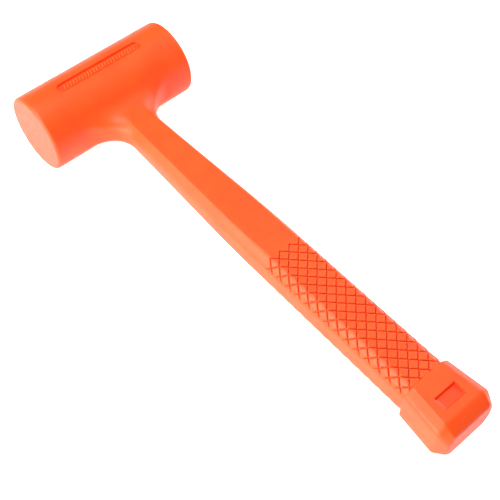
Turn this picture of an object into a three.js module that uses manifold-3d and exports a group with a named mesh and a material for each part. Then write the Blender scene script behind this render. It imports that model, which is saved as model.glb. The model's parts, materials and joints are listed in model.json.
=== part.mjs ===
// Dead blow mallet: a one-piece urethane casting around a welded steel core, whose sealed
// canister in the head is part filled with loose steel shot. Millimetres, +Z up.
// The mallet lies on its side. The head's axis runs along X and the handle runs towards -Y.
// Pieces are drawn in the head's own frame, centred on the head's axis, and the last group
// moves them so that the origin is the centre of the bottom of the mallet's box.

import * as THREE from 'three';
import { mergeVertices } from 'three/addons/utils/BufferGeometryUtils.js';
import Module from 'manifold-3d';

const wasm = await Module();
wasm.setup();

// ---------- driving dimensions ----------

const gap = 0.3;                      // between pieces that touch
const overCut = 1;                    // how far a cutter passes the face it cuts

const headLength = 90;
const headRadius = 21.2;
const rimRadius = 1.8;                // rounded rim of each strike face
const strikeWall = 8;                 // solid urethane behind each strike face
const buttEnd = 263.4;                // from the head's axis to the end face of the butt

// Handle sections: distance from the head's axis, half sizes and corner cuts of the octagon.
const shankNeck = { along: 40, halfWidth: 9.6, halfThickness: 8.9, cutX: 3.1, cutZ: 5 };
const gripFront = { along: 122, halfWidth: 12.6, halfThickness: 9.9, cutX: 3.4, cutZ: 4.8 };
const gripRear = { along: 235.7, halfWidth: 12.65, halfThickness: 11.1, cutX: 4.2, cutZ: 4.6 };
const neckRadius = 20;                // fillet between shank and barrel, seen from above
const neckTopRadius = 15;             // the same fillet, seen from the side
const neckSteps = 12;

// Butt cap sections, from its collar to its end face.
const capCollar = { along: 235.7, halfWidth: 12.9, halfThickness: 11.9, cutX: 4, cutZ: 3.4 };
const capFront = { along: 236.7, halfWidth: 13.8, halfThickness: 12.8, cutX: 4.2, cutZ: 3.6 };
const capRear = { along: 257.5, halfWidth: 16.2, halfThickness: 12.8, cutX: 4.4, cutZ: 3.6 };
const capEnd = { along: buttEnd, halfWidth: 14.1, halfThickness: 8.6, cutX: 2.8, cutZ: 4.6 };

const headSlot = { length: 54, width: 7, floorZ: 20 };
const capRecess = { front: 246, rear: 253, halfWidth: 6.4, depth: 0.9 };

const canisterRadius = 16.5;
const canisterBore = 14.8;
const capFlange = 1.5;                // canister cap: rim that covers the tube's end
const capSpigot = 2.5;                // canister cap: plug inside the tube

const shotRadius = 4.75;
const shotPitch = 9.8;                // centre to centre, across and along
const shotRing = 6;                   // balls around the middle one
const shotLayers = 5;

const rodRadius = 4;
const rodStart = 18.8;
const rodEnd = 256.4;
const socketRadius = 6.2;
const socketEnd = 32;
const socketPin = { along: 26, radius: 1.5 };
const anchorPin = { radius: 1.5, halfLength: 7 };
const anchorPinPlaces = { front: 84, rear: 188 };
const spacer = { radius: 6, halfLength: 4 };
const spacerPlaces = { front: 56, rear: 214 };

const spigot = { halfWidth: 9, halfThickness: 8, cutX: 3, cutZ: 3, end: 249.4 };
const washer = { radius: 7.2, thickness: 1.6 };
const nut = { acrossFlats: 10, thickness: 4 };

const roundSides = 64;                // facets around the barrel
const boreSides = 56;                 // facets around the canister
const rodSides = 32;                  // facets around the rod and its fittings

// ---------- materials ----------

const urethane = new THREE.MeshStandardMaterial({ color: 0xff6730, roughness: 0.42, metalness: 0 });
const steel = new THREE.MeshStandardMaterial({ color: 0x9a9da1, roughness: 0.35, metalness: 0.9 });
const tubeSteel = new THREE.MeshStandardMaterial({ color: 0x84888d, roughness: 0.45, metalness: 0.9 });
const fastenerSteel = new THREE.MeshStandardMaterial({ color: 0xb4b6b8, roughness: 0.3, metalness: 0.9 });
const shotSteel = new THREE.MeshStandardMaterial({ color: 0xc2c4c6, roughness: 0.25, metalness: 0.95 });
const spacerPlastic = new THREE.MeshStandardMaterial({ color: 0xe9dccb, roughness: 0.6, metalness: 0 });

// ---------- solids ----------

function toSolid(geometry) {
  const bare = geometry.index ? geometry.toNonIndexed() : geometry.clone();
  bare.deleteAttribute('normal');
  bare.deleteAttribute('uv');
  const merged = mergeVertices(bare);
  return new wasm.Manifold(new wasm.Mesh({
    numProp: 3,
    vertProperties: new Float32Array(merged.attributes.position.array),
    triVerts: new Uint32Array(merged.index.array),
  }));
}

function toGeometry(solid) {
  const mesh = solid.getMesh();
  const geometry = new THREE.BufferGeometry();
  geometry.setAttribute('position', new THREE.BufferAttribute(mesh.vertProperties, 3));
  geometry.setIndex(new THREE.BufferAttribute(mesh.triVerts, 1));
  geometry.computeVertexNormals();
  return geometry;
}

function cutFrom(solid, cutters) {
  return cutters.reduce((left, cutter) => left.subtract(cutter), solid);
}

// Round bar across the head, from x = -halfLength to +halfLength.
function barX(radius, halfLength, sides) {
  const geometry = new THREE.CylinderGeometry(radius, radius, 2 * halfLength, sides);
  return geometry.rotateZ(Math.PI / 2);
}

// Round bar along the handle, between two distances from the head's axis.
function barAlong(radius, start, end, sides) {
  const geometry = new THREE.CylinderGeometry(radius, radius, end - start, sides);
  return geometry.translate(0, -(start + end) / 2, 0);
}

// Round bar on X, crossing the handle at one distance from the head's axis.
function crossBar(radius, halfLength, along) {
  return barX(radius, halfLength, rodSides).translate(0, -along, 0);
}

// Loft of an octagon along the handle. sectionAt gives its half sizes and corner cuts.
function loft(sectionAt, stations) {
  const corners = [[2, 1], [1, 2], [-1, 2], [-2, 1], [-2, -1], [-1, -2], [1, -2], [2, -1]];
  const outline = new THREE.Shape(corners.map(([across, up]) => new THREE.Vector2(across, up)));
  const steps = stations.length - 1;
  const geometry = new THREE.ExtrudeGeometry(outline, { depth: steps, steps, bevelEnabled: false });
  const position = geometry.attributes.position;
  for (let i = 0; i < position.count; i += 1) {
    const along = stations[Math.round(position.getZ(i))];
    const section = sectionAt(along);
    const across = position.getX(i);
    const up = position.getY(i);
    const onSide = Math.abs(across) > Math.abs(up);
    const x = section.halfWidth - (onSide ? 0 : section.cutX);
    const z = section.halfThickness - (onSide ? section.cutZ : 0);
    position.setXYZ(i, Math.sign(across) * x, -along, Math.sign(up) * z);
  }
  return toSolid(geometry);
}

// Section between listed ones, in straight lines.
function between(sections, along) {
  const last = sections.length - 2;
  const at = sections.findIndex((section, i) => i === last || along <= sections[i + 1].along);
  const [from, to] = [sections[at], sections[at + 1]];
  const share = (along - from.along) / (to.along - from.along);
  const mix = (key) => THREE.MathUtils.lerp(from[key], to[key], share);
  return {
    halfWidth: mix('halfWidth'),
    halfThickness: mix('halfThickness'),
    cutX: mix('cutX'),
    cutZ: mix('cutZ'),
  };
}

// How far a fillet of this radius stands off its straight side, at a distance before its end.
function filletRise(radius, before) {
  const run = THREE.MathUtils.clamp(before, 0, radius);
  return radius - Math.sqrt(radius ** 2 - run ** 2);
}

// ---------- casting ----------

// The neck's top fillet touches the barrel's round wall and the shank's flat top.
const neckTopEnd = Math.sqrt(
  (headRadius + neckTopRadius) ** 2 - (shankNeck.halfThickness + neckTopRadius) ** 2,
);
const neckTopStart = neckTopEnd * headRadius / (headRadius + neckTopRadius);
const neckEnd = headRadius + neckRadius;

function handleSection(along) {
  const section = between([shankNeck, gripFront, gripRear], Math.max(along, shankNeck.along));
  const topRun = neckTopEnd - Math.max(along, neckTopStart);
  section.halfWidth += filletRise(neckRadius, neckEnd - along);
  section.halfThickness += filletRise(neckTopRadius, topRun);
  return section;
}

function barrel() {
  const half = headLength / 2;
  const turn = Math.PI / 2;
  const profile = new THREE.Path();
  profile.moveTo(0, -half);
  profile.lineTo(headRadius - rimRadius, -half);
  profile.absarc(headRadius - rimRadius, -half + rimRadius, rimRadius, -turn, 0, false);
  profile.lineTo(headRadius, half - rimRadius);
  profile.absarc(headRadius - rimRadius, half - rimRadius, rimRadius, 0, turn, false);
  profile.lineTo(0, half);
  const rimDivisions = 4;
  const points = profile.getPoints(rimDivisions);
  return toSolid(new THREE.LatheGeometry(points, roundSides).rotateZ(Math.PI / 2));
}

// Stations lie at equal turns round the neck's side fillet, then at the grip's ends.
function handleStations() {
  const stations = [neckTopStart - overCut, neckTopStart];
  for (let i = 0; i <= neckSteps; i += 1) {
    const turn = Math.PI / 2 * (1 - i / neckSteps);
    stations.push(neckEnd - neckRadius * Math.sin(turn));
  }
  return [...stations, gripFront.along, gripRear.along - gap];
}

function handle() {
  const tang = loft(() => spigot, [gripRear.along - overCut, spigot.end]);
  return loft(handleSection, handleStations()).add(tang);
}

function slotCutter() {
  const endRadius = headSlot.width / 2;
  const reach = headSlot.length / 2 - endRadius;
  const turn = Math.PI / 2;
  const outline = new THREE.Shape();
  outline.absarc(reach, 0, endRadius, -turn, turn, false);
  outline.absarc(-reach, 0, endRadius, turn, 3 * turn, false);
  const depth = headRadius + overCut - headSlot.floorZ;
  const geometry = new THREE.ExtrudeGeometry(outline, { depth, bevelEnabled: false, curveSegments: 8 });
  return toSolid(geometry.translate(0, 0, headSlot.floorZ));
}

// Room for the steel core. It is open to the outside through the rod's bore at the butt.
function coreRoom() {
  const canister = barX(canisterRadius + gap, headLength / 2 - strikeWall, boreSides);
  const rod = barAlong(rodRadius + gap, 0, spigot.end + overCut, rodSides);
  const socket = barAlong(socketRadius + gap, 0, socketEnd + gap, rodSides);
  const pins = Object.values(anchorPinPlaces).map(
    (along) => crossBar(anchorPin.radius + gap, anchorPin.halfLength + gap, along),
  );
  const spacers = Object.values(spacerPlaces).map((along) => barAlong(
    spacer.radius + gap,
    along - spacer.halfLength - gap,
    along + spacer.halfLength + gap,
    rodSides,
  ));
  return [canister, rod, socket, ...pins, ...spacers].map(toSolid);
}

function bodyMoulding() {
  return cutFrom(barrel().add(handle()), [slotCutter(), ...coreRoom()]);
}

// ---------- butt cap ----------

function recessCutter() {
  const length = capRecess.rear - capRecess.front;
  const geometry = new THREE.BoxGeometry(2 * capRecess.halfWidth, length, 2 * capRecess.depth);
  const middle = (capRecess.front + capRecess.rear) / 2;
  return toSolid(geometry.translate(0, -middle, capFront.halfThickness));
}

function buttCap() {
  const sections = [capCollar, capFront, capRear, capEnd];
  const block = loft((along) => between(sections, along), sections.map((section) => section.along));
  const roomSection = {
    halfWidth: spigot.halfWidth + gap,
    halfThickness: spigot.halfThickness + gap,
    cutX: spigot.cutX,
    cutZ: spigot.cutZ,
  };
  const tangRoom = loft(() => roomSection, [capCollar.along - overCut, spigot.end + gap]);
  const nutRoom = toSolid(barAlong(washer.radius + gap, spigot.end, rodEnd + gap, rodSides));
  return cutFrom(block, [tangRoom, nutRoom, recessCutter()]);
}

// ---------- steel core ----------

const canisterHalf = headLength / 2 - strikeWall - gap;
const tubeHalf = canisterHalf - capFlange - gap;

function canisterTube() {
  const tube = toSolid(barX(canisterRadius, tubeHalf, boreSides));
  return tube.subtract(toSolid(barX(canisterBore, tubeHalf + overCut, boreSides)));
}

// Pressed cap with its flange over the tube's end. side is -1 for the left one, +1 for the right.
function canisterCap(side) {
  const inner = tubeHalf - capSpigot;
  const flangeStart = canisterHalf - capFlange;
  const profile = [
    [0, inner],
    [canisterBore - gap, inner],
    [canisterBore - gap, flangeStart],
    [canisterRadius, flangeStart],
    [canisterRadius, canisterHalf],
    [0, canisterHalf],
  ].map(([radius, along]) => new THREE.Vector2(radius, along));
  return toSolid(new THREE.LatheGeometry(profile, boreSides).rotateZ(-side * Math.PI / 2));
}

// Stub welded to the canister: its inner end is saddled to the tube, and the rod plugs into it.
function rodSocket() {
  const stub = toSolid(barAlong(socketRadius, 0, socketEnd, rodSides));
  return cutFrom(stub, [
    toSolid(barX(canisterRadius + gap, headLength, boreSides)),
    toSolid(barAlong(rodRadius + gap, rodStart - gap, socketEnd + overCut, rodSides)),
    toSolid(crossBar(socketPin.radius + gap, headRadius, socketPin.along)),
  ]);
}

function handleRod() {
  const rod = toSolid(barAlong(rodRadius, rodStart, rodEnd, rodSides));
  const holes = [socketPin.along, ...Object.values(anchorPinPlaces)];
  const holeRadius = anchorPin.radius + gap;
  return cutFrom(rod, holes.map((along) => toSolid(crossBar(holeRadius, headRadius, along))));
}

function ring(radius, start, end, sides) {
  const disc = toSolid(barAlong(radius, start, end, sides));
  const hole = barAlong(rodRadius + gap, start - overCut, end + overCut, rodSides);
  return disc.subtract(toSolid(hole));
}

const washerStart = spigot.end + gap;
const nutStart = washerStart + washer.thickness + gap;
const nutCornerRadius = nut.acrossFlats / 2 / Math.cos(Math.PI / 6);

// ---------- shot ----------

function shotPlaces() {
  const places = [];
  for (let layer = 0; layer < shotLayers; layer += 1) {
    const x = (layer - (shotLayers - 1) / 2) * shotPitch;
    places.push(new THREE.Vector3(x, 0, 0));
    for (let ball = 0; ball < shotRing; ball += 1) {
      const angle = 2 * Math.PI * ball / shotRing;
      places.push(new THREE.Vector3(x, shotPitch * Math.cos(angle), shotPitch * Math.sin(angle)));
    }
  }
  return places;
}

// ---------- assembly ----------

const mallet = new THREE.Group();
mallet.position.set(0, (buttEnd - headRadius) / 2, headRadius);

function addPiece(name, geometry, material) {
  const piece = new THREE.Mesh(geometry, material.clone());
  piece.name = name;
  mallet.add(piece);
  return piece;
}

addPiece('body_moulding', toGeometry(bodyMoulding()), urethane);
addPiece('butt_cap', toGeometry(buttCap()), urethane);
addPiece('canister_tube', toGeometry(canisterTube()), tubeSteel);
addPiece('canister_cap_left', toGeometry(canisterCap(-1)), tubeSteel);
addPiece('canister_cap_right', toGeometry(canisterCap(1)), tubeSteel);
addPiece('rod_socket', toGeometry(rodSocket()), tubeSteel);
addPiece('socket_pin', crossBar(socketPin.radius, socketRadius - gap, socketPin.along), fastenerSteel);
addPiece('handle_rod', toGeometry(handleRod()), steel);

for (const [place, along] of Object.entries(anchorPinPlaces)) {
  const pin = crossBar(anchorPin.radius, anchorPin.halfLength, along);
  addPiece(`anchor_pin_${place}`, pin, fastenerSteel);
}
for (const [place, along] of Object.entries(spacerPlaces)) {
  const body = ring(spacer.radius, along - spacer.halfLength, along + spacer.halfLength, rodSides);
  addPiece(`rod_spacer_${place}`, toGeometry(body), spacerPlastic);
}

const washerRing = ring(washer.radius, washerStart, washerStart + washer.thickness, rodSides);
addPiece('rod_washer', toGeometry(washerRing), fastenerSteel);
const nutSides = 6;
const nutRing = ring(nutCornerRadius, nutStart, nutStart + nut.thickness, nutSides);
addPiece('rod_nut', toGeometry(nutRing), fastenerSteel);

const shotDetail = 2;
shotPlaces().forEach((place, i) => {
  const number = String(i + 1).padStart(2, '0');
  const ball = addPiece(`shot_${number}`, new THREE.IcosahedronGeometry(shotRadius, shotDetail), shotSteel);
  ball.position.copy(place);
});

export default mallet;
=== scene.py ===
"""Looks of the dead blow mallet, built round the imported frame. Blender 4.5, metres, +Z up.

Shapes are worked out in millimetres in the head's own frame: X runs along the head's axis, the
handle runs towards -Y, and the origin is on the head's axis. Shell.build moves them to the shared
frame. Distances from the head's axis down the handle are called "along".
"""

import json
import math
from collections import namedtuple

import bmesh
import bpy
import numpy as np
from mathutils import Matrix, Vector


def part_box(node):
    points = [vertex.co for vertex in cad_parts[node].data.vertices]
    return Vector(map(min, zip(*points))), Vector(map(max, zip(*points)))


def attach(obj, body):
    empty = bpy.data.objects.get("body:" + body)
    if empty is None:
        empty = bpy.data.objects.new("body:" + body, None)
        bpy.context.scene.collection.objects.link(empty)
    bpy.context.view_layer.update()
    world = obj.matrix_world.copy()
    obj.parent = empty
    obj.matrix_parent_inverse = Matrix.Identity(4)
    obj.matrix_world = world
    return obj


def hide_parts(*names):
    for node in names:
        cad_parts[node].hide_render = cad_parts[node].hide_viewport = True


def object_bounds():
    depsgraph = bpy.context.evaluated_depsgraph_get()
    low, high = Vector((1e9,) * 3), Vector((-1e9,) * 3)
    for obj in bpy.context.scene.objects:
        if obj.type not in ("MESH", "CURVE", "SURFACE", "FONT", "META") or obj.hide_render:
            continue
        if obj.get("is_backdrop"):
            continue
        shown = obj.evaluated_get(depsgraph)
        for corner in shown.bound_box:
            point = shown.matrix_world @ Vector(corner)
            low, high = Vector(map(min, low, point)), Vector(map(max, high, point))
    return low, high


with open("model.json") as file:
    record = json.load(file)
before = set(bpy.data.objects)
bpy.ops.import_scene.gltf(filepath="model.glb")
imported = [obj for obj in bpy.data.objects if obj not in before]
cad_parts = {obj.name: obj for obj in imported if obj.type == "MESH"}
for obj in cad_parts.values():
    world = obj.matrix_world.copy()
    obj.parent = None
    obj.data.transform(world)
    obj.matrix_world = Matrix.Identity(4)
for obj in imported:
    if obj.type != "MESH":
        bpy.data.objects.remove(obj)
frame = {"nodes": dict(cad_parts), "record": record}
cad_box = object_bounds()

MM = 0.001

# ---------- sizes, from the frame where it holds them ----------

body_low, body_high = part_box("body_moulding")
cap_low, cap_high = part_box("butt_cap")

HEAD_LENGTH = (body_high.x - body_low.x) / MM
HEAD_RADIUS = (body_high.z - body_low.z) / MM / 2
HEAD_AXIS = Vector((0, body_high.y - HEAD_RADIUS * MM, (body_high.z + body_low.z) / 2))


def down_handle(y):
    """Distance along the handle, in mm, of a y in the shared frame."""
    return (HEAD_AXIS.y - y) / MM


BUTT_END = down_handle(cap_low.y)
COLLAR = down_handle(cap_high.y)
TANG_END = down_handle(body_low.y)

# ---------- sizes that the frame doesn't hold, in millimetres ----------

RIM = 1.8                    # rounded rim of a strike face
GAP = 0.3                    # clearance round the steel core, as in the frame
SHARP_ABOVE = 42             # edges stay crisp above this angle, in degrees

# Soft-cornered octagon sections: half sizes and corner cuts at a distance down the handle.
Section = namedtuple("Section", "along half_width half_thickness cut_x cut_z")
SHANK = [
    Section(40, 9.6, 8.9, 3.1, 5.0),
    Section(122, 12.6, 9.9, 3.4, 4.8),
    Section(COLLAR, 12.65, 11.1, 4.2, 4.6),
]
CAP = [
    Section(COLLAR, 13.7, 12.8, 4.2, 3.6),
    Section(257.5, 16.2, 12.8, 4.4, 3.6),
    Section(BUTT_END, 14.1, 8.6, 2.8, 4.6),
]
SHANK_BLEND = 16             # how far each side of its change of taper the handle is eased
CAP_BLEND = 1.2              # the same for the butt

# How far each side of a long edge its rounding reaches, for the edges of the top and side flats.
Rounding = namedtuple("Rounding", "top side")
SHANK_EDGE = Rounding(0.5, 2.4)
CAP_EDGE = Rounding(0.9, 1.9)
CORE_EDGE = Rounding(0.5, 0.5)

COLLAR_ROUND = 0.9           # rounded front edge of the butt cap
COLLAR_SLIT = 0.15           # slit between casting and cap
BUTT_ROUND = 1.2             # rounded edge of the butt's end face

# The casting's tang, which the butt cap covers: half sizes and corner cuts, as in a section.
TANG = (9, 8, 3, 3)
TANG_ROOM = (9.3, 8.3, 3, 3)
TANG_ROOT = 4                # how far the tang starts inside the grip
TRIM = (20, 20, 1, 1)        # block that cuts the grip off at the collar

NECK_SIDE = 20               # fillet between shank and barrel, seen from above
NECK_TOP = 15                # the same fillet, seen from the side
NECK_SQUARE = 0.55           # 1 for an oval foot on the barrel, less for a squarer one
NECK_START_POWER = 4         # how late the fillet's start moves in from side to top
NECK_SOFTENING = 450         # how much the shank's long edges fade in the neck
NECK_ROWS = 26               # rows of vertices from the shank to the barrel
SHANK_ROWS = 44              # and from the grip to the neck
CROWDING_ROWS = 6            # rows over which the shank's columns crowd to its edges

# Grip pads: squares standing on a corner, in columns round the handle and rows down it.
PAD_ACROSS = 3.05            # from one column of pad corners to the next
PAD_ALONG = 3.187            # from one row of pad corners to the next
FIRST_PADS = 148.8           # middle of the first row
GROOVE_DEPTH = 0.8
PAD_LIFT = 0.06              # how far the pads stand proud of the shank
PAD_PITCHES = 14             # pads in each ring round the handle, and pitches of the lattice
PAD_EDGE = [0, 0.03, 0.075, 0.115]       # distance into a pad, in pitches
PAD_RISE = [0, 0.06, 0.88, 1]            # and how much of its height it has there
PAD_MARKS = [*PAD_EDGE, 0.25, 0.375, 0.5, 0.625, 0.75, 0.885, 0.925, 0.97]  # vertices in a pitch
PAD_CORNER = 14.05                       # how far round, in pads' measure, the side flat starts
PADS_FULL, PADS_GONE = 12.5, 15.7        # where the grooves run out, in the same measure
LAST_PADS = 4                            # column of pads that bends over that corner
LAST_PADS_DROP = 0.5                     # how far it sinks there

# Slot along the top of the barrel, with plain slanted ribs on its floor.
SLOT_HALF_LENGTH = 27
SLOT_RADIUS = 3.5
SLOT_WALL = [  # step in from the slot's edge, depth below the barrel
    (0, 0), (0.08, 0.02), (0.17, 0.10), (0.22, 0.24), (0.27, 1.15), (0.34, 1.30), (0.48, 1.35),
]
SLOT_FLOOR = 1.35
SLOT_LANES = 4               # quads from one side of the slot's floor to the other

RIB_COUNT = 25
RIBS_REACH = 22.2            # middle of the last rib, from the slot's middle
RIB_HALF_LENGTH = 1.75
RIB_HALF_WIDTH = 0.36
RIB_HEIGHT = 0.75
RIB_SLANT = 0.28
RIB_PROFILE = [(1.0, 0.0), (1.0, 0.6), (0.92, 0.85), (0.7, 1.0)]  # shares of its width and height

# Recess in the top of the butt cap.
RECESS_HALF_WIDTH = 6.4
RECESS_FRONT, RECESS_REAR = 246, 253
RECESS_DEPTH = 1.6           # in its deepest corner, at the front and +X
RECESS_RISE = 0.35           # how much its floor rises away from there, each way, as a share
RECESS_WALL = [  # distance out from the recess's front and rear edges, share of the depth
    (-0.75, 1), (-0.6, 0.95), (-0.05, 0.1), (0.05, 0.02), (0.3, 0),
]
RECESS_STEEPER = 0.3         # the same distances at its +X and -X edges, as a share

# Rings of the cap apart from those at its ends and at the recess's edges.
CAP_FRONT_RINGS = [238, 240, 242, 244, 245.2]
RECESS_RINGS = [248, 249.5, 251]
CAP_REAR_RINGS = [254.4, 255.8, 256.6, 257.1, 257.5, 257.9, 258.4, 259.3, 260.4]

# Painted shade in hollow and narrow places: they are tinted a deeper, darker red.
HOLLOW_REACH = 6 * MM        # how far away a wall still reddens a hollow place with painted shade
CREVICE_REACH = 1.5 * MM     # the same, for a narrow one
HOLLOW_SHADE_TINT = (0.97, 0.050, 0.0030)
CREVICE_SHADE_TINT = (0.48, 0.078, 0.0080)
LIT_SIDES_BELOW, FULL_SHADE_ABOVE = 7.6, 9.4     # heights off the handle's middle plane, between which the crevices' painted shade grows from its share on the lit sides to full strength
LIT_SIDES_SHADE_SHARE = 0.2            # share of a crevice's painted shade that is left on the handle's sides, which the low left light reaches

COLUMNS = PAD_PITCHES * len(PAD_MARKS)   # vertices round the handle
CROWDING = 0.75                          # how strongly the shank's columns crowd to its edges


# ---------- mesh building ----------

class Shell:
    """Vertices and faces of one mesh, in millimetres in the head's frame."""

    def __init__(self):
        self.blocks = []
        self.faces = []
        self.count = 0

    def add(self, points):
        points = np.asarray(points, float).reshape(-1, 3)
        first = self.count
        self.blocks.append(points)
        self.count += len(points)
        return np.arange(first, self.count)

    def strip(self, one, other, closed=True):
        """Quads between two rows of the same length."""
        last = len(one) if closed else len(one) - 1
        for i in range(last):
            k = (i + 1) % len(one)
            self.faces.append((one[i], one[k], other[k], other[i]))

    def fan(self, ring, centre):
        for i in range(len(ring)):
            self.faces.append((ring[i], ring[(i + 1) % len(ring)], centre))

    def build(self, name):
        points = np.concatenate(self.blocks) * MM + np.array(HEAD_AXIS)
        mesh = bpy.data.meshes.new(name)
        mesh.from_pydata(points.tolist(), [], [tuple(int(v) for v in f) for f in self.faces])
        mesh.validate()
        piece = bpy.data.objects.new(name, mesh)
        bpy.context.scene.collection.objects.link(piece)
        outward(mesh)
        return piece


def outward(mesh):
    """Turns every face to point out of its solid."""
    work = bmesh.new()
    work.from_mesh(mesh)
    bmesh.ops.recalc_face_normals(work, faces=work.faces)
    work.to_mesh(mesh)
    work.free()


def combine(piece, other, operation):
    """Joins another solid to a piece, or cuts it out, and throws the other one away."""
    step = piece.modifiers.new(operation.lower(), "BOOLEAN")
    step.operation = operation
    step.solver = "MANIFOLD"
    step.object = other
    graph = bpy.context.evaluated_depsgraph_get()
    result = bpy.data.meshes.new_from_object(piece.evaluated_get(graph))
    piece.modifiers.clear()
    old = piece.data
    piece.data = result
    bpy.data.meshes.remove(old)
    bpy.data.objects.remove(other)


def smooth(piece):
    mesh = piece.data
    mesh.shade_smooth()
    mesh.set_sharp_from_angle(angle=math.radians(SHARP_ABOVE))


# ---------- soft-cornered octagon ----------

def section_at(sections, along, blend):
    """The section in straight lines between listed ones, with the change of taper softened."""
    along = np.asarray(along, float)
    before, middle, after = (np.array(s) for s in sections)
    step_in = (middle - before) / (middle[0] - before[0])
    step_out = (after - middle) / (after[0] - middle[0])
    past = along - middle[0]
    reach = np.clip(blend - abs(past), 0, None) ** 2 / (4 * blend)
    values = []
    for k in range(1, 5):
        slope = np.where(past < 0, step_in[k], step_out[k])
        values.append(middle[k] + slope * past + reach * (step_out[k] - step_in[k]))
    return values


def quarter_spans(half_width, half_thickness, cut_x, cut_z):
    """Lengths round a quarter section: top flat, corner cut, side flat."""
    return half_width - cut_x, np.hypot(cut_x, cut_z), half_thickness - cut_z


def quarter_point(section, arc, rounding):
    """Place and outward normal on a quarter section, at arc mm round from its top centre."""
    half_width, half_thickness, cut_x, cut_z = section
    flat, bevel, _ = quarter_spans(*section)
    over_bevel = np.clip(arc - flat, 0, bevel)
    x = np.minimum(arc, flat) + over_bevel * cut_x / bevel
    z = half_thickness - over_bevel * cut_z / bevel - np.clip(arc - flat - bevel, 0, None)
    slant = (cut_x / bevel, -cut_z / bevel)
    one, zero = np.ones_like(bevel), np.zeros_like(bevel)
    heading_x = np.where(arc < flat, one, np.where(arc < flat + bevel, slant[0], zero))
    heading_z = np.where(arc < flat, zero, np.where(arc < flat + bevel, slant[1], -one))
    turns = [
        (rounding.top, arc - flat, slant[0] - one, slant[1] - zero),
        (rounding.side, arc - flat - bevel, zero - slant[0], -one - slant[1]),
    ]
    for edge, past, turn_x, turn_z in turns:
        reach = np.clip(edge - abs(past), 0, None)
        x = x + reach ** 2 / (4 * edge) * turn_x
        z = z + reach ** 2 / (4 * edge) * turn_z
        lean = -np.sign(past) * reach / (2 * edge)
        heading_x = heading_x + lean * turn_x
        heading_z = heading_z + lean * turn_z
    length = np.hypot(heading_x, heading_z)
    return x, z, -heading_z / length, heading_x / length


# ---------- grip ----------

def pad_place(step):
    """Position of a lattice line, in pad pitches."""
    return step // len(PAD_MARKS) + np.array(PAD_MARKS)[step % len(PAD_MARKS)]


def pad_height(p, q, quarter):
    """Height over the shank at lattice place p, q. Whole numbers are groove centres."""
    cell_p, cell_q = np.floor(p), np.floor(q)
    half_way = PAD_PITCHES // 2
    column = abs((cell_p + cell_q + 1 + half_way) % PAD_PITCHES - half_way)
    drop = LAST_PADS_DROP * np.interp(quarter, [LAST_PADS * PAD_ACROSS, PAD_CORNER], [0, 1])
    full = GROOVE_DEPTH + PAD_LIFT - np.where(column == LAST_PADS, drop, 0)
    into_p, into_q = p - cell_p, q - cell_q
    row = cell_p - cell_q

    def rise(into):
        return np.interp(np.minimum(into, 1 - into), PAD_EDGE, PAD_RISE)

    pad = -GROOVE_DEPTH + full * rise(into_p) * rise(into_q)
    near_p = np.interp(1 - into_p, PAD_EDGE, PAD_RISE)
    near_q = np.interp(into_q, PAD_EDGE, PAD_RISE)
    lead_in = -GROOVE_DEPTH * (1 - near_p * near_q)
    return np.where(row >= 0, pad, np.where(row == -1, lead_in, 0.0))


def around(turned, section):
    """Turned distance and arc on a quarter of the section, and the quarter's signs of x and z."""
    whole = 2 * PAD_PITCHES * PAD_ACROSS
    turned = np.mod(turned, whole)
    sign_x = np.where(turned <= whole / 2, 1.0, -1.0)
    half = np.minimum(turned, whole - turned)
    sign_z = np.where(half <= whole / 4, 1.0, -1.0)
    quarter = np.minimum(half, whole / 2 - half)
    flat, bevel, side = quarter_spans(*section)
    on_bevel = flat + (quarter - flat) * bevel / (PAD_CORNER - flat)
    on_side = flat + bevel + (quarter - PAD_CORNER) * side / (whole / 4 - PAD_CORNER)
    arc = np.where(quarter <= flat, quarter, np.where(quarter <= PAD_CORNER, on_bevel, on_side))
    return quarter, arc, sign_x, sign_z


def grip_lattice(shell, first_line, last_line):
    """Rows of the padded grip. Line numbers count lattice steps from the first row of pads."""
    column = np.arange(COLUMNS)
    rows = {}
    for line in range(first_line, last_line + 1):
        p, q = pad_place(column), pad_place(column - line)
        along = FIRST_PADS + PAD_ALONG * (p - q)
        section = section_at(SHANK, along, SHANK_BLEND)
        quarter, arc, sign_x, sign_z = around(PAD_ACROSS * (p + q), section)
        x, z, normal_x, normal_z = quarter_point(section, arc, SHANK_EDGE)
        fade = np.clip((PADS_GONE - quarter) / (PADS_GONE - PADS_FULL), 0, 1)
        height = pad_height(p, q, quarter) * fade * fade * (3 - 2 * fade)
        x = sign_x * (x + height * normal_x)
        z = sign_z * (z + height * normal_z)
        rows[line] = shell.add(np.stack([x, -along, z], axis=1))
    for line in range(first_line, last_line + 1):
        row = rows[line]
        for a in range(COLUMNS):
            b = (a + 1) % COLUMNS
            corners = [row[a], row[b]]
            if line < last_line:
                corners.insert(1, rows[line + 1][b])
            if line > first_line:
                corners.append(rows[line - 1][a])
            if len(corners) > 2:
                shell.faces.append(corners)
    return rows


# ---------- shank and neck ----------

def column_shares(arc, section):
    """Which span of the quarter each column is on, and its share of that span."""
    flat, bevel, side = quarter_spans(*section)
    span = np.where(arc <= flat, 0, np.where(arc <= flat + bevel, 1, 2))
    share = np.choose(span, [arc / flat, (arc - flat) / bevel, (arc - flat - bevel) / side])
    return span, share


def crowd_to_edges(span, share, strength):
    """Moves columns towards the handle's long edges, which then stay crisp."""
    mirrored = np.choose(span, [(1 + share) / 2, share, share / 2])
    moved = mirrored - strength * np.sin(2 * math.pi * mirrored) / (2 * math.pi)
    return np.choose(span, [2 * moved - 1, moved, 2 * moved])


def shank_point(along, span, share):
    section = section_at(SHANK, along, SHANK_BLEND)
    flat, bevel, side = quarter_spans(*section)
    arc = np.choose(span, [share * flat, flat + share * bevel, flat + bevel + share * side])
    x, z, _, _ = quarter_point(section, arc, SHANK_EDGE)
    return x, z


def unit(v):
    return v / np.linalg.norm(v, axis=-1, keepdims=True)


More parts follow.
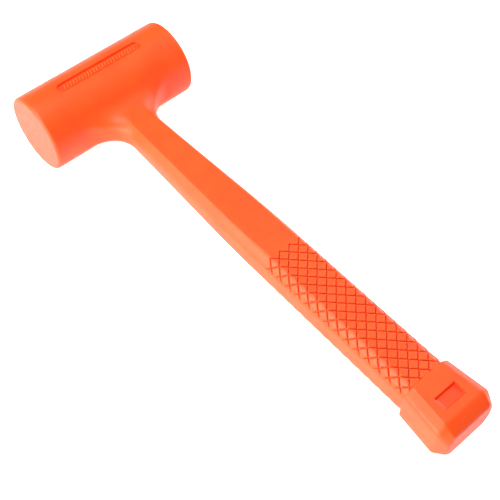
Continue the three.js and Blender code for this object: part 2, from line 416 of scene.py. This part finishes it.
def neck_rows(start, start_way, end, end_way, count):
    """Rows of a fillet that is close to circular arcs, and how far along it each one is."""
    bend = np.arccos(np.clip((start_way * -end_way).sum(axis=1), -1, 1))
    chord = np.linalg.norm(end - start, axis=1)
    pull = chord * 4 / 3 * np.tan(bend / 4) / (2 * np.sin(bend / 2))
    near_start = start + start_way * pull[:, None]
    near_end = end + end_way * pull[:, None]
    rows = []
    for k in range(1, count + 1):
        t = k / count
        points = (
            (1 - t) ** 3 * start + 3 * t * (1 - t) ** 2 * near_start
            + 3 * t * t * (1 - t) * near_end + t ** 3 * end
        )
        rows.append((points, t))
    return rows


def soften(ring, passes):
    """Rounds off the corners of a closed row of points."""
    for _ in range(passes):
        ring = (np.roll(ring, 1, axis=0) + 2 * ring + np.roll(ring, -1, axis=0)) / 4
    return ring


# ---------- barrel ----------

NECK_HALF_ANGLE = 75         # half the barrel's patch that the neck grows from, in degrees
SLOT_HALF_ANGLE = 15
ACROSS_STEPS = 20            # steps from the barrel's middle to its rim
NECK_STEPS = 44              # steps round each patch of the barrel
SLOT_STEPS = 8
BACK_STEPS = 52
ROUND_STEPS = NECK_STEPS + SLOT_STEPS + BACK_STEPS
RIM_STEPS = 7


def barrel_angle(step):
    """Angle of a line round the barrel, in degrees from the handle towards the top."""
    edges = [0, NECK_STEPS, NECK_STEPS + SLOT_STEPS, ROUND_STEPS]
    slot_end = NECK_HALF_ANGLE + 2 * SLOT_HALF_ANGLE
    angles = [-NECK_HALF_ANGLE, NECK_HALF_ANGLE, slot_end, 360 - NECK_HALF_ANGLE]
    return np.interp(step, edges, angles)


def on_barrel(x, angle, depth=0.0):
    """Points on the barrel, or a depth below it."""
    x, angle = np.broadcast_arrays(np.asarray(x, float), np.radians(angle))
    radius = HEAD_RADIUS - depth
    return np.stack([x, -radius * np.cos(angle), radius * np.sin(angle)], axis=-1)


class Barrel:
    """The barrel's wall, with a patch left for the neck and one for the slot."""

    def __init__(self, shell):
        self.shell = shell
        self.known = {}
        self.wall_half = HEAD_LENGTH / 2 - RIM

    def vertex(self, across, step):
        key = (across, step % ROUND_STEPS)
        if key not in self.known:
            x = self.wall_half * across / ACROSS_STEPS
            self.known[key] = self.shell.add(on_barrel(x, barrel_angle(key[1])))[0]
        return self.known[key]

    def patch_edge(self, low, high):
        """Vertices round a patch, from its upper middle towards +X."""
        spots = [(k, high) for k in range(ACROSS_STEPS)]
        spots += [(ACROSS_STEPS, step) for step in range(high, low, -1)]
        spots += [(k, low) for k in range(ACROSS_STEPS, -ACROSS_STEPS, -1)]
        spots += [(-ACROSS_STEPS, step) for step in range(low, high)]
        spots += [(k, high) for k in range(-ACROSS_STEPS, 0)]
        places = [(self.wall_half * a / ACROSS_STEPS, float(barrel_angle(s))) for a, s in spots]
        return [self.vertex(a, s) for a, s in spots], np.array(places)

    def ease_to_edge(self, inner, inner_places, low, high, rows):
        """Fills a patch between a closed row of vertices and the patch's own edge."""
        edge, edge_places = self.patch_edge(low, high)
        last = inner
        for k in range(1, rows):
            places = inner_places + (edge_places - inner_places) * k / rows
            row = self.shell.add(on_barrel(places[:, 0], places[:, 1]))
            self.shell.strip(last, row)
            last = row
        self.shell.strip(last, edge)

    def back(self):
        start = NECK_STEPS + SLOT_STEPS
        for step in range(start, ROUND_STEPS):
            one = [self.vertex(k, step) for k in range(-ACROSS_STEPS, ACROSS_STEPS + 1)]
            other = [self.vertex(k, step + 1) for k in range(-ACROSS_STEPS, ACROSS_STEPS + 1)]
            self.shell.strip(one, other, closed=False)

    def end(self, side):
        """Rounded rim and flat strike face."""
        shell = self.shell
        last = [self.vertex(side * ACROSS_STEPS, step) for step in range(ROUND_STEPS)]
        angle = barrel_angle(np.arange(ROUND_STEPS))
        flat_radius = HEAD_RADIUS - RIM
        circles = []
        for k in range(1, RIM_STEPS + 1):
            turn = math.pi / 2 * k / RIM_STEPS
            x = self.wall_half + RIM * math.sin(turn)
            circles.append((x, flat_radius + RIM * math.cos(turn)))
        circles += [(HEAD_LENGTH / 2, flat_radius * share) for share in (0.96, 0.8, 0.6, 0.4, 0.2)]
        for x, radius in circles:
            row = shell.add(on_barrel(side * x, angle, HEAD_RADIUS - radius))
            shell.strip(last, row)
            last = row
        shell.fan(last, shell.add([side * HEAD_LENGTH / 2, 0, 0])[0])


def slot_outline(step_in):
    """Round-ended slot in x and distance round the barrel, from its upper middle towards +X."""
    straight, ends = 18, 12
    reach = SLOT_HALF_LENGTH - SLOT_RADIUS
    radius = SLOT_RADIUS - step_in
    points = [(reach * k / straight, radius) for k in range(straight)]
    for k in range(ends):
        turn = math.pi * k / ends
        points.append((reach + radius * math.sin(turn), radius * math.cos(turn)))
    points += [(reach - reach * k / straight, -radius) for k in range(2 * straight)]
    for k in range(ends):
        turn = math.pi * k / ends
        points.append((-reach - radius * math.sin(turn), -radius * math.cos(turn)))
    points += [(-reach + reach * k / straight, radius) for k in range(straight)]
    return np.array(points)


def top_angle(across):
    """Angle round the barrel of a distance from the middle of its top, in mm."""
    return 90 + np.degrees(across / HEAD_RADIUS)


def slot(shell, barrel):
    rings = []
    for step_in, depth in SLOT_WALL:
        outline = slot_outline(step_in)
        rings.append(shell.add(on_barrel(outline[:, 0], top_angle(outline[:, 1]), depth)))
    outline = slot_outline(0)
    places = np.stack([outline[:, 0], top_angle(outline[:, 1])], axis=1)
    barrel.ease_to_edge(rings[0], places, NECK_STEPS, NECK_STEPS + SLOT_STEPS, 4)
    for one, other in zip(rings, rings[1:]):
        shell.strip(one, other)
    slot_floor(shell, rings[-1], slot_outline(SLOT_WALL[-1][0]))


def slot_floor(shell, ring, outline):
    """Rungs across the slot from one side to the other, from its +X tip to its -X tip."""
    count = len(ring)
    tip = count // 4
    last = None
    for k in range(1, count // 2):
        upper, lower = (tip - k) % count, (tip + k) % count
        shares = np.arange(1, SLOT_LANES) / SLOT_LANES
        between = outline[upper] + (outline[lower] - outline[upper]) * shares[:, None]
        inner = shell.add(on_barrel(between[:, 0], top_angle(between[:, 1]), SLOT_FLOOR))
        rung = [ring[upper], *inner, ring[lower]]
        if last is None:
            shell.faces.append([ring[tip], *rung])
        else:
            shell.strip(last, rung, closed=False)
        last = rung
    shell.faces.append([ring[(tip + count // 2) % count], *reversed(last)])


# ---------- the casting ----------

def round_bar(name, axis, radius, start, end, sides=96):
    """Closed round bar on X, or along the handle from start to end."""
    shell = Shell()
    turn = 2 * math.pi * np.arange(sides) / sides
    ring = radius * np.stack([np.cos(turn), np.sin(turn)], axis=1)
    rows = []
    for place in (start, end):
        spot = np.full(sides, float(place))
        if axis == "x":
            columns = [spot, ring[:, 0], ring[:, 1]]
        else:
            columns = [ring[:, 0], -spot, ring[:, 1]]
        rows.append(shell.add(np.stack(columns, axis=1)))
    shell.strip(*rows)
    for row, place in zip(rows, (start, end)):
        centre = [place, 0, 0] if axis == "x" else [0, -place, 0]
        shell.fan(row, shell.add(centre)[0])
    return shell.build(name)


def section_block(name, sizes, start, end):
    """Closed block of one soft octagon section along the handle."""
    shell = Shell()
    section = [np.array(float(v)) for v in sizes]
    arcs = np.linspace(0, sum(quarter_spans(*section)), 25)
    x, z, _, _ = quarter_point([np.full_like(arcs, v) for v in section], arcs, CORE_EDGE)
    ring = ring_from_quarter(x, z)
    rows = []
    for along in (start, end):
        spot = np.full(len(ring), -float(along))
        rows.append(shell.add(np.stack([ring[:, 0], spot, ring[:, 1]], axis=1)))
    shell.strip(*rows)
    for row, along in zip(rows, (start, end)):
        shell.fan(row, shell.add([0, -along, 0])[0])
    return shell.build(name)


def ring_from_quarter(x, z):
    """Whole ring of x, z from a quarter that runs from top centre to side centre."""
    quads = [
        np.stack([x, z], axis=1),
        np.stack([x, -z], axis=1)[-2::-1],
        np.stack([-x, -z], axis=1)[1:],
        np.stack([-x, z], axis=1)[-2:0:-1],
    ]
    return np.concatenate(quads)


def core_cutters():
    """Room for each piece of the steel core, with the frame's clearance."""
    low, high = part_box("canister_tube")
    radius = (high.z - low.z) / MM / 2 + GAP
    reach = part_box("canister_cap_right")[1].x / MM + GAP
    yield round_bar("canister_room", "x", radius, -reach, reach)
    for node in ("rod_socket", "rod_spacer_front", "rod_spacer_rear"):
        low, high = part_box(node)
        radius = (high.x - low.x) / MM / 2 + GAP
        start = 0 if node == "rod_socket" else down_handle(high.y) - GAP
        yield round_bar("room", "y", radius, start, down_handle(low.y) + GAP)
    low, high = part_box("handle_rod")
    radius = (high.x - low.x) / MM / 2 + GAP
    yield round_bar("rod_room", "y", radius, 0, TANG_END + 1)
    for node in ("anchor_pin_front", "anchor_pin_rear"):
        low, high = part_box(node)
        radius = (high.z - low.z) / MM / 2 + GAP
        pin = round_bar("pin_room", "x", radius, low.x / MM - GAP, high.x / MM + GAP, sides=24)
        middle = (low.y + high.y) / 2
        pin.data.transform(Matrix.Translation((0, middle - HEAD_AXIS.y, 0)))
        yield pin


class Columns:
    """The shank's columns of vertices, which start as the lattice's own at the grip's front."""

    def __init__(self, front_along):
        section = section_at(SHANK, np.full(COLUMNS, front_along), SHANK_BLEND)
        turned = 2 * PAD_ACROSS * pad_place(np.arange(COLUMNS))
        _, arc, self.sign_x, self.sign_z = around(turned, section)
        self.span, self.share = column_shares(arc, section)

    def quarter(self, along, crowding):
        return shank_point(along, self.span, crowd_to_edges(self.span, self.share, crowding))

    def row(self, along, crowding=CROWDING):
        """Points of one row of the shank."""
        x, z = self.quarter(along, crowding)
        return np.stack([self.sign_x * x, -along, self.sign_z * z], axis=1)

    def lift(self):
        """Direction of each column at the neck, from 90 degrees at the top to 0 at the side."""
        along = np.full(COLUMNS, float(SHANK[0].along))
        half_width, half_thickness, _, _ = section_at(SHANK, along, SHANK_BLEND)
        x, z = self.quarter(along, CROWDING)
        return np.clip(np.arctan2(z / half_thickness, x / half_width), 0, math.pi / 2)


def shank(shell, columns, last, front_along, neck_start):
    """Rows from the grip's front to the start of the neck."""
    for k in range(1, SHANK_ROWS + 1):
        along = front_along + (neck_start - front_along) * k / SHANK_ROWS
        row = shell.add(columns.row(along, CROWDING * min(1, k / CROWDING_ROWS)))
        shell.strip(last, row)
        last = row
    return last


def neck_ends(lift):
    """Where each column's fillet starts along the handle, and the angle where the top one ends."""
    centre_z = SHANK[0].half_thickness + NECK_TOP
    top_start = math.sqrt((HEAD_RADIUS + NECK_TOP) ** 2 - centre_z ** 2)
    top_end = math.degrees(math.asin(centre_z / (HEAD_RADIUS + NECK_TOP)))
    side_start = HEAD_RADIUS + NECK_SIDE
    return side_start - (side_start - top_start) * np.sin(lift) ** NECK_START_POWER, top_end


def neck(shell, columns, lift, last, neck_start, top_end):
    """Fillet from the shank to the barrel. Gives its last row, and that row's places there."""
    start = columns.row(neck_start)
    start_way = unit(columns.row(neck_start - 0.5) - start)
    half_width = SHANK[0].half_width + NECK_SIDE
    over, up = np.cos(lift) ** NECK_SQUARE, np.sin(lift) ** NECK_SQUARE
    foot = np.stack([columns.sign_x * half_width * over, columns.sign_z * top_end * up], axis=1)
    half_height = HEAD_RADIUS * math.radians(top_end)
    slant = 2 - NECK_SQUARE
    inward = unit(np.stack([
        -columns.sign_x * np.cos(lift) ** slant / half_width,
        -columns.sign_z * np.sin(lift) ** slant / half_height,
    ], axis=1))
    turn = np.radians(foot[:, 1])
    round_way = np.stack([np.zeros(COLUMNS), np.sin(turn), np.cos(turn)], axis=1)
    end_way = inward[:, :1] * np.array([[1.0, 0, 0]]) + inward[:, 1:] * round_way
    end = on_barrel(foot[:, 0], foot[:, 1])
    for points, share in neck_rows(start, start_way, end, end_way, NECK_ROWS):
        row = shell.add(soften(points, round(NECK_SOFTENING * share * (1 - share))))
        shell.strip(last, row)
        last = row
    return last, foot


def fit_to_core_and_cap(piece, rear_along):
    """Trims the grip at the collar, adds the tang and cuts the room for the steel core."""
    combine(piece, section_block("trim", TRIM, COLLAR, rear_along + 1), "DIFFERENCE")
    combine(piece, section_block("tang", TANG, COLLAR - TANG_ROOT, TANG_END), "UNION")
    for cutter in core_cutters():
        combine(piece, cutter, "DIFFERENCE")


def casting():
    """The whole casting, from the grip's rear up to the barrel."""
    shell = Shell()
    steps = len(PAD_MARKS)
    first_line = -2 * steps
    last_line = math.ceil((COLLAR - FIRST_PADS) / (2 * PAD_ALONG)) * 2 * steps
    grip = grip_lattice(shell, first_line, last_line)

    front = grip[first_line][(np.arange(COLUMNS) + first_line // 2) % COLUMNS]
    front_along = FIRST_PADS + PAD_ALONG * first_line / steps
    columns = Columns(front_along)
    lift = columns.lift()
    neck_start, top_end = neck_ends(lift)
    last = shank(shell, columns, front, front_along, neck_start)
    last, foot = neck(shell, columns, lift, last, neck_start, top_end)

    barrel = Barrel(shell)
    barrel.ease_to_edge(last, foot, 0, NECK_STEPS, 10)
    slot(shell, barrel)
    barrel.back()
    barrel.end(-1)
    barrel.end(1)

    rear_along = FIRST_PADS + PAD_ALONG * last_line / steps
    shell.fan(grip[last_line], shell.add([0, -rear_along, 0])[0])
    piece = shell.build("mallet_casting")
    fit_to_core_and_cap(piece, rear_along)
    smooth(piece)
    return piece


def slot_ribs():
    """Plain slanted ribs on the slot's floor."""
    shell = Shell()
    turn = 2 * math.pi * np.arange(16) / 16
    away = np.sign(np.sin(turn)) * (RIB_HALF_LENGTH - RIB_HALF_WIDTH)
    for middle in np.linspace(-RIBS_REACH, RIBS_REACH, RIB_COUNT):
        rows = []
        for spread, up in RIB_PROFILE:
            across = away + RIB_HALF_WIDTH * spread * np.sin(turn)
            x = middle + RIB_HALF_WIDTH * spread * np.cos(turn) + RIB_SLANT * across
            rows.append(shell.add(on_barrel(x, top_angle(across), SLOT_FLOOR - RIB_HEIGHT * up)))
        for one, other in zip(rows, rows[1:]):
            shell.strip(one, other)
        shell.faces.append(list(rows[0]))
        shell.faces.append(list(rows[-1]))
    piece = shell.build("slot_ribs")
    smooth(piece)
    return piece


# ---------- butt cap ----------

def recess_depth(x, along):
    """Depth of the recess, with slanted walls and soft edges."""
    away, share = zip(*RECESS_WALL)
    middle = (RECESS_FRONT + RECESS_REAR) / 2
    half = (RECESS_REAR - RECESS_FRONT) / 2
    over_x = np.interp((abs(x) - RECESS_HALF_WIDTH) / RECESS_STEEPER, away, share)
    over_along = np.interp(abs(along - middle) - half, away, share)
    away_x = (1 - x / RECESS_HALF_WIDTH) / 2
    away_along = (1 + (along - middle) / half) / 2
    depth = RECESS_DEPTH * (1 - RECESS_RISE * (away_x + away_along))
    return depth * np.minimum(over_x, over_along)


def cap_arcs(section):
    """Columns round a quarter of the cap: fixed ones over the recess, then ones that flare."""
    flat, bevel, side = (float(v) for v in quarter_spans(*section))
    wall = [RECESS_HALF_WIDTH + RECESS_STEEPER * away for away, _ in RECESS_WALL]
    fixed = [0, 1.6, 3.2, 4.8, *wall]
    corner = np.linspace(-1, 1, 9)
    top = flat + CAP_EDGE.top * corner
    lower = flat + bevel + CAP_EDGE.side * corner
    rest = lower[-1] + (side - CAP_EDGE.side) * np.array([0.33, 0.66, 1])
    return np.array([*fixed, *top, flat + bevel * 0.4, *lower, *rest])


def cap_rows():
    """Distance down the handle and step in of each ring of the cap."""
    rows = []
    for k in range(7):
        turn = math.pi / 2 * k / 6
        back = COLLAR_ROUND * (1 - math.cos(turn))
        rows.append((COLLAR + COLLAR_SLIT + back, COLLAR_ROUND * (1 - math.sin(turn))))
    recess_front = [RECESS_FRONT - away for away, _ in reversed(RECESS_WALL)]
    recess_rear = [RECESS_REAR + away for away, _ in RECESS_WALL]
    for along in (*CAP_FRONT_RINGS, *recess_front, *RECESS_RINGS, *recess_rear, *CAP_REAR_RINGS):
        rows.append((along, 0))
    for k in range(9):
        turn = math.pi / 2 * k / 8
        back = BUTT_ROUND * (1 - math.sin(turn))
        rows.append((BUTT_END - back, BUTT_ROUND * (1 - math.cos(turn))))
    return rows


def close_end(shell, row, points):
    """Flat end of the cap, in rings that shrink to its middle."""
    centre = np.array([0, points[0, 1], 0])
    for share in (0.9, 0.6, 0.3):
        inner = shell.add(centre + (points - centre) * share)
        shell.strip(row, inner)
        row = inner
    shell.fan(row, shell.add(centre)[0])


def butt_cap():
    shell = Shell()
    rings = []
    for along, step_in in cap_rows():
        half_width, half_thickness, cut_x, cut_z = section_at(CAP, along, CAP_BLEND)
        section = (half_width - step_in, half_thickness - step_in, cut_x, cut_z)
        arcs = cap_arcs(section)
        x, z, _, _ = quarter_point([np.full_like(arcs, v) for v in section], arcs, CAP_EDGE)
        ring = ring_from_quarter(x, z)
        sunk = np.where(ring[:, 1] > 0, recess_depth(ring[:, 0], along), 0)
        rings.append(np.stack([ring[:, 0], np.full(len(ring), -along), ring[:, 1] - sunk], axis=1))
    rows = [shell.add(points) for points in rings]
    for one, other in zip(rows, rows[1:]):
        shell.strip(one, other)
    close_end(shell, rows[0], rings[0])
    close_end(shell, rows[-1], rings[-1])
    piece = shell.build("mallet_butt")
    nut_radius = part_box("rod_washer")[1].x / MM + GAP
    nut_end = down_handle(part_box("handle_rod")[0].y) + GAP
    tang_room = section_block("tang_room", TANG_ROOM, COLLAR - 1, TANG_END + GAP)
    combine(piece, tang_room, "DIFFERENCE")
    nut_room = round_bar("nut_room", "y", nut_radius, TANG_END - 1, nut_end)
    combine(piece, nut_room, "DIFFERENCE")
    smooth(piece)
    return piece


# ---------- materials ----------

def new_material(name):
    material = bpy.data.materials.new(name)
    material.use_nodes = True
    tree = material.node_tree
    return material, tree, tree.nodes["Principled BSDF"]


def add_node(tree, kind, **values):
    node = tree.nodes.new(kind)
    for key, value in values.items():
        if hasattr(node, key):
            setattr(node, key, value)
        else:
            node.inputs[key.replace("_", " ")].default_value = value
    return node


def noise(tree, coordinates, scale, detail, roughness=0.5):
    node = add_node(tree, "ShaderNodeTexNoise", Scale=scale, Detail=detail, Roughness=roughness)
    tree.links.new(coordinates, node.inputs["Vector"])
    return node.outputs["Fac"]


def remap(tree, value, low, high, to_low, to_high):
    node = add_node(
        tree, "ShaderNodeMapRange", From_Min=low, From_Max=high, To_Min=to_low, To_Max=to_high,
    )
    tree.links.new(value, node.inputs["Value"])
    return node.outputs["Result"]


def mix_colours(tree, factor, one, other):
    node = tree.nodes.new("ShaderNodeMix")
    node.data_type = "RGBA"
    sockets = {s.name: s for s in node.inputs if s.type == "RGBA"}
    for name, value in (("A", one), ("B", other)):
        if isinstance(value, tuple):
            sockets[name].default_value = (*value, 1)
        else:
            tree.links.new(value, sockets[name])
    tree.links.new(factor, node.inputs["Factor"])
    return next(s for s in node.outputs if s.type == "RGBA")


def bump(tree, shader, heights):
    """Stacks bumps of (height, distance in metres, strength) onto a shader."""
    last = None
    for height, distance, strength in heights:
        node = add_node(tree, "ShaderNodeBump", Distance=distance, Strength=strength)
        tree.links.new(height, node.inputs["Height"])
        if last is not None:
            tree.links.new(last, node.inputs["Normal"])
        last = node.outputs["Normal"]
    tree.links.new(last, shader.inputs["Normal"])


def calculate(tree, operation, one, other=0.0):
    """Math node on a socket and either a second socket or a number."""
    node = add_node(tree, "ShaderNodeMath", operation=operation)
    tree.links.new(one, node.inputs[0])
    if isinstance(other, (int, float)):
        node.inputs[1].default_value = other
    else:
        tree.links.new(other, node.inputs[1])
    return node.outputs["Value"]


def distance_from(tree, spot, axis, middle):
    """Distance on one axis from a middle, in metres."""
    split = tree.nodes.new("ShaderNodeSeparateXYZ")
    tree.links.new(spot, split.inputs["Vector"])
    return calculate(tree, "ABSOLUTE", calculate(tree, "SUBTRACT", split.outputs[axis], middle))


def strike_faces(tree, spot):
    """Mask of the two strike faces, which get a paler colour as a painted sheen."""
    off_middle = distance_from(tree, spot, "X", 0)
    half = HEAD_LENGTH / 2 * MM
    return remap(tree, off_middle, half - 0.3 * MM, half - 0.02 * MM, 0, 1)


def share_of_crevice_shade(tree, spot):
    """Share of its painted shade that a crevice keeps: all high up, less on the handle's sides,
    which the low left light reaches.
    """
    off_middle = distance_from(tree, spot, "Z", HEAD_AXIS.z)
    return remap(tree, off_middle, LIT_SIDES_BELOW * MM, FULL_SHADE_ABOVE * MM, LIT_SIDES_SHADE_SHARE, 1)


def cavity_shade(tree, reach, closed, clear, strength):
    """Mask of hollow places, where shade is painted as a deeper red."""
    open_sky = add_node(tree, "ShaderNodeAmbientOcclusion", only_local=True, samples=8)
    open_sky.inputs["Distance"].default_value = reach
    return remap(tree, open_sky.outputs["AO"], closed, clear, strength, 0)


def urethane(name, dark, light, face_sheen_tint):
    """Satin moulded urethane: even orange, slightly mottled, with fine mould grain. Shade is
    painted into hollows and crevices as a deeper red, and the strike faces take their own face
    colour, a painted sheen where it is paler.
    """
    material, tree, shader = new_material(name)
    spot = tree.nodes.new("ShaderNodeTexCoord").outputs["Object"]
    mottle = noise(tree, spot, 55, 3)
    cloud = remap(tree, mottle, 0.35, 0.65, 0, 1)
    plain = mix_colours(tree, cloud, dark, light)
    # Painted sheen: the strike faces take their own colour, paler and pinker in the orange.
    with_face_sheen = mix_colours(tree, strike_faces(tree, spot), plain, face_sheen_tint)
    # Painted shade: hollow places are tinted a deeper, darker red.
    hollow_shading = cavity_shade(tree, HOLLOW_REACH, closed=0.5, clear=0.97, strength=0.8)
    with_hollow_shade = mix_colours(tree, hollow_shading, with_face_sheen, HOLLOW_SHADE_TINT)
    # Painted shade: narrow crevices such as grooves and slot edges are tinted darker, less so on
    # the handle's lit sides.
    crevices = cavity_shade(tree, CREVICE_REACH, closed=0.25, clear=0.85, strength=0.5)
    crevice_shading = calculate(tree, "MULTIPLY", crevices, share_of_crevice_shade(tree, spot))
    tree.links.new(mix_colours(tree, crevice_shading, with_hollow_shade, CREVICE_SHADE_TINT), shader.inputs["Base Color"])
    patches = noise(tree, spot, 320, 4, 0.6)
    tree.links.new(remap(tree, patches, 0.3, 0.7, 0.36, 0.50), shader.inputs["Roughness"])
    shader.inputs["Specular IOR Level"].default_value = 0.34
    shader.inputs["Subsurface Weight"].default_value = 0.12
    shader.inputs["Subsurface Radius"].default_value = (1.0, 0.28, 0.08)
    shader.inputs["Subsurface Scale"].default_value = 0.0022
    grain = noise(tree, spot, 2600, 2)
    waves = noise(tree, spot, 140, 2)
    bump(tree, shader, [(waves, 0.0004, 0.12), (grain, 0.00005, 0.25)])
    return material


def metal(name, colour, roughness, grain_scale):
    """Plain steel with fine grain and uneven sheen."""
    material, tree, shader = new_material(name)
    spot = tree.nodes.new("ShaderNodeTexCoord").outputs["Object"]
    dull = tuple(channel * 0.72 for channel in colour)
    stain = remap(tree, noise(tree, spot, 180, 4, 0.6), 0.35, 0.7, 0, 1)
    tree.links.new(mix_colours(tree, stain, colour, dull), shader.inputs["Base Color"])
    shader.inputs["Metallic"].default_value = 1.0
    sheen = remap(tree, noise(tree, spot, 600, 3), 0.3, 0.7, roughness - 0.08, roughness + 0.12)
    tree.links.new(sheen, shader.inputs["Roughness"])
    bump(tree, shader, [(noise(tree, spot, grain_scale, 3), 0.00003, 0.3)])
    return material


def spacer_plastic():
    material, tree, shader = new_material("natural_plastic")
    spot = tree.nodes.new("ShaderNodeTexCoord").outputs["Object"]
    cloud = remap(tree, noise(tree, spot, 90, 3), 0.35, 0.65, 0, 1)
    colour = mix_colours(tree, cloud, (0.80, 0.70, 0.55), (0.72, 0.61, 0.46))
    tree.links.new(colour, shader.inputs["Base Color"])
    shader.inputs["Roughness"].default_value = 0.55
    bump(tree, shader, [(noise(tree, spot, 1800, 2), 0.00004, 0.3)])
    return material


def pale_floor():
    material, tree, shader = new_material("pale_floor")
    shader.inputs["Base Color"].default_value = (0.63, 0.63, 0.63, 1)
    shader.inputs["Roughness"].default_value = 0.9
    shader.inputs["Specular IOR Level"].default_value = 0.1
    shader.inputs["Emission Color"].default_value = (1, 1, 1, 1)
    shader.inputs["Emission Strength"].default_value = 0.88
    return material


def dress_core():
    """Metal and plastic for the pieces that stay as the frame has them."""
    by_slot = {
        "core_steel": metal("drawn_steel", (0.32, 0.33, 0.35), 0.38, 1500),
        "fastener_steel": metal("zinc_plate", (0.60, 0.60, 0.58), 0.30, 2200),
        "shot_steel": metal("shot_steel", (0.56, 0.57, 0.60), 0.22, 1200),
        "spacer_plastic": spacer_plastic(),
    }
    slots = {row["node"]: row["material_slot"] for row in frame["record"]["subparts"]}
    for name, node in frame["nodes"].items():
        material = by_slot.get(slots.get(name))
        if material is not None:
            node.data.materials.clear()
            node.data.materials.append(material)


# ---------- stage ----------

FLOOR_HALF = 12              # metres
LIGHT_AWAY = 1.2             # metres


def floor_plane():
    """Pale floor that touches the head and the butt, as the mallet really lies."""
    low_along, low_z = CAP[1].along, -CAP[1].half_thickness
    away = math.hypot(low_along, low_z)
    tilt = math.asin(HEAD_RADIUS / away) - math.atan(-low_z / low_along)
    touch = HEAD_AXIS + Vector((0, -math.sin(tilt), -math.cos(tilt))) * HEAD_RADIUS * MM
    over = Vector((FLOOR_HALF, 0, 0))
    down = Vector((0, -math.cos(tilt), math.sin(tilt))) * FLOOR_HALF
    corners = [touch - over - down, touch + over - down, touch + over + down, touch - over + down]
    mesh = bpy.data.meshes.new("floor")
    mesh.from_pydata([tuple(corner) for corner in corners], [], [(0, 1, 2, 3)])
    plane = bpy.data.objects.new("floor", mesh)
    bpy.context.scene.collection.objects.link(plane)
    mesh.materials.append(pale_floor())
    plane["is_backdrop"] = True


def soft_light(name, azimuth, elevation, width, height, power):
    """Area light that faces the middle of the mallet from a direction."""
    turn, lift = math.radians(azimuth), math.radians(elevation)
    away = LIGHT_AWAY * Vector((
        math.cos(turn) * math.cos(lift),
        math.sin(turn) * math.cos(lift),
        math.sin(lift),
    ))
    light = bpy.data.lights.new(name, "AREA")
    light.shape = "RECTANGLE"
    light.size = width
    light.size_y = height
    light.energy = power
    lamp = bpy.data.objects.new(name, light)
    bpy.context.scene.collection.objects.link(lamp)
    lamp.location = Vector((0, 0, HEAD_AXIS.z)) + away
    lamp.rotation_euler = (-away).to_track_quat("-Z", "Y").to_euler()


def lighting():
    """Pale room, a strong low light to the left, and weaker ones to the right and overhead."""
    scene = bpy.context.scene
    world = bpy.data.worlds.new("studio")
    world.use_nodes = True
    backdrop = world.node_tree.nodes["Background"]
    backdrop.inputs["Color"].default_value = (1, 1, 1, 1)
    backdrop.inputs["Strength"].default_value = 0.1
    scene.world = world
    soft_light("left", azimuth=176, elevation=12, width=1.2, height=0.7, power=24.2)
    soft_light("right", azimuth=10, elevation=26, width=0.9, height=1.0, power=11.5)
    soft_light("overhead", azimuth=135, elevation=66, width=0.7, height=0.7, power=14.7)
    scene.view_settings.view_transform = "Standard"


def camera():
    """Long lens at the product view: from the front left, well above."""
    azimuth, elevation = math.radians(-41.21), math.radians(55.16)
    distance, aim_along = 462.39 * MM, 120 * MM
    pan, rise = 0.62 * MM, -11.27 * MM
    away = Vector((
        math.sin(azimuth) * math.cos(elevation),
        -math.cos(azimuth) * math.cos(elevation),
        math.sin(elevation),
    ))
    right = Vector((math.cos(azimuth), math.sin(azimuth), 0))
    up = away.cross(right)
    lens = bpy.data.cameras.new("camera")
    lens.sensor_width = 36
    lens.lens = 67.57
    eye = bpy.data.objects.new("camera", lens)
    bpy.context.scene.collection.objects.link(eye)
    aim = HEAD_AXIS - Vector((0, aim_along, 0))
    eye.location = aim + away * distance + right * pan + up * rise
    eye.rotation_euler = away.to_track_quat("Z", "Y").to_euler()
    bpy.context.scene.camera = eye


# ---------- assembly ----------

def wear(piece, material):
    piece.data.materials.clear()
    piece.data.materials.append(material)


def shade_recess(piece, material):
    """Paints shade on the recess's floor and walls: they get the darker, redder copy of the
    orange.
    """
    piece.data.materials.append(material)
    middle = (RECESS_FRONT + RECESS_REAR) / 2
    half = (RECESS_REAR - RECESS_FRONT) / 2
    for face in piece.data.polygons:
        spot = (face.center - HEAD_AXIS) / MM
        over_recess = abs(spot.x) < RECESS_HALF_WIDTH and abs(-spot.y - middle) < half
        if over_recess and spot.z > CAP[0].half_thickness - 2 * RECESS_DEPTH:
            face.material_index = 1


# Orange with a painted sheen: its strike faces take the paler, pinker face colour.
orange = urethane(
    "orange_urethane",
    dark=(1.0, 0.078, 0.0086),
    light=(1.0, 0.093, 0.0115),
    face_sheen_tint=(1.0, 0.090, 0.025),
)
# Darker, redder copy of the orange, painted as shade on the recess's floor and walls.
recess_shade = urethane(
    "recess_shade_urethane",
    dark=(1.0, 0.054, 0.006),
    light=(1.0, 0.064, 0.008),
    face_sheen_tint=(1.0, 0.064, 0.008),
)
# Paler copy of the orange, painted as a highlight on the slot's ribs.
rib_highlight = urethane(
    "rib_highlight_urethane",
    dark=(1.0, 0.125, 0.022),
    light=(1.0, 0.150, 0.030),
    face_sheen_tint=(1.0, 0.150, 0.030),
)

body = casting()
wear(body, orange)
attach(body, "mallet")
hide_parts("body_moulding")

ribs = slot_ribs()
wear(ribs, rib_highlight)
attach(ribs, "mallet")

cap = butt_cap()
wear(cap, orange)
shade_recess(cap, recess_shade)
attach(cap, "mallet")
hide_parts("butt_cap")

dress_core()
floor_plane()
lighting()
camera()

boxes = {"cad": cad_box, "visual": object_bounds()}
{name: [list(corner) for corner in box] for name, box in boxes.items()}
